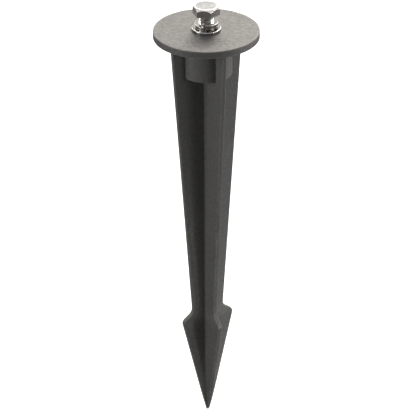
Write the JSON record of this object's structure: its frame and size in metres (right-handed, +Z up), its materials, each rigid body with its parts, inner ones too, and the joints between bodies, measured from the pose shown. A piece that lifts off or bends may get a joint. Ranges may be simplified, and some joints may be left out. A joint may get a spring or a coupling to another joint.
{
  "type": "garden spike for a spotlight",
  "caption": "Ground spike for a garden spotlight: round disc and hub over a cross of tapering barbed blades, with a hexagon bolt, spring lock washer and flat washer to clamp the lamp.",
  "frame": {"origin": "centre of the disc's underside, which rests on the ground", "axes": "+Z up along the bolt; the four blades lie along +X, -X, +Y and -Y, and the tip is at the bottom"},
  "size_m": [0.0576, 0.0574, 0.264],
  "materials": {
    "anthracite_coat": "die-cast aluminium under a fine matte powder coat",
    "stainless_washer": "stamped stainless steel, satin",
    "spring_steel": "stainless spring steel, satin",
    "stainless_bolt": "cold-formed stainless steel, semi-bright"
  },
  "bodies": {
    "spike": {"ground_spike": "anthracite_coat"},
    "flat_washer": {"flat_washer": "stainless_washer"},
    "lock_washer": {"lock_washer": "spring_steel"},
    "bolt": {"hex_bolt": "stainless_bolt"}
  },
  "joints": [
    {"name": "bolt_turn", "type": "hinge", "parent": "spike", "child": "flat_washer", "pos_m": [0, 0, 0.004], "axis": [0, 0, 1], "range_deg": [-1080, 4500]},
    {"name": "bolt_travel", "type": "slide", "parent": "flat_washer", "child": "bolt", "axis": [0, 0, 1], "range_m": [-0.00375, 0.01562]},
    {"name": "lock_washer_spin", "type": "hinge", "parent": "spike", "child": "lock_washer", "pos_m": [0, 0, 0.0056], "axis": [0, 0, 1], "continuous": true}
  ],
  "couplings": [
    {"joint": "bolt_turn", "follows": "bolt_travel", "rad_per_m": 5026.5}
  ]
}
